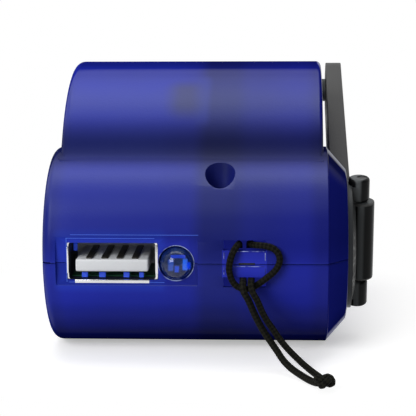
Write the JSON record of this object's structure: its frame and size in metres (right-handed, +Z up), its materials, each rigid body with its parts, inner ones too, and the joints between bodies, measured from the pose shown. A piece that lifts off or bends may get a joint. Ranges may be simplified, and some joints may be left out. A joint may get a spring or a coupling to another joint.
{
  "type": "hand crank phone charger",
  "caption": "Hand crank phone charger: two-drum case, folding side crank, step-up gears, small generator, USB-A socket, lamp and wrist lanyard.",
  "frame": {"origin": "point of the flat base under the middle of the case", "axes": "+Z up, +X to the crank side, -Y to the face with the USB socket"},
  "size_m": [0.0513, 0.0799, 0.0434],
  "materials": {
    "blue_abs": "satin, tinted and slightly see-through",
    "steel": "satin",
    "nickel": "bright",
    "can_steel": "satin",
    "gold_contact": "bright",
    "bronze": "satin",
    "copper": "satin",
    "magnet": "matte",
    "nylon": "matte",
    "white_plastic": "matte",
    "black_plastic": "matte",
    "black_gloss": "gloss",
    "grey_plastic": "matte",
    "board": "satin",
    "clear_blue": "clear",
    "sleeve": "gloss",
    "wire_red": "matte",
    "cord_black": "braided"
  },
  "bodies": {
    "case": {"upper_shell": "blue_abs", "lower_shell": "blue_abs", "case_screws": "steel", "bulkhead": "black_plastic", "gear_plate_inner": "steel", "gear_plate_outer": "steel", "gear_pillars": "steel", "gearbox_screws": "steel", "boss_bush": "bronze", "plate_bush": "bronze", "compound_axle": "steel", "generator_can": "can_steel", "generator_cap": "black_plastic", "stator_coils": "copper", "generator_bushes": "bronze", "circuit_board": "board", "usb_shell": "nickel", "usb_tongue": "white_plastic", "usb_contacts": "gold_contact", "indicator_led": "clear_blue", "led_leads": "steel", "capacitor": "sleeve", "inductor": "magnet", "rectifier_diodes": "black_plastic", "regulator_chip": "black_plastic", "generator_wires": "wire_red", "lanyard_loop": "cord_black", "lanyard_tail": "cord_black", "lanyard_knot": "cord_black"},
    "crank": {"crank_hub": "black_gloss", "crank_shaft": "steel", "drive_gear": "nylon", "shaft_clip": "steel", "hinge_pin": "steel"},
    "arm": {"crank_arm": "grey_plastic", "knob_axle": "steel", "knob_clip": "steel"},
    "knob": {"crank_knob": "black_gloss"},
    "step_up": {"compound_gear": "nylon"},
    "rotor": {"rotor_shaft": "steel", "rotor_magnet": "magnet", "rotor_pinion": "bronze"}
  },
  "joints": [
    {"name": "crank_spin", "type": "hinge", "parent": "case", "child": "crank", "pos_m": [0.0247, -0.0129, 0.0156], "axis": [1, 0, 0], "continuous": true},
    {"name": "arm_fold", "type": "hinge", "parent": "crank", "child": "arm", "pos_m": [0.0272, -0.0129, 0.0156], "axis": [0, 0.1736, -0.9848], "range_deg": [0, 180]},
    {"name": "knob_spin", "type": "hinge", "parent": "arm", "child": "knob", "pos_m": [0.013, 0.03113, 0.03585], "axis": [1, 0, 0], "continuous": true},
    {"name": "step_up_spin", "type": "hinge", "parent": "case", "child": "step_up", "pos_m": [0.014, -0.00021, 0.02022], "axis": [1, 0, 0], "continuous": true},
    {"name": "rotor_spin", "type": "hinge", "parent": "case", "child": "rotor", "pos_m": [0.012, 0.01299, 0.02302], "axis": [1, 0, 0], "continuous": true}
  ],
  "couplings": [
    {"joint": "step_up_spin", "follows": "crank_spin", "ratio": -3.5},
    {"joint": "rotor_spin", "follows": "crank_spin", "ratio": 12.25}
  ]
}
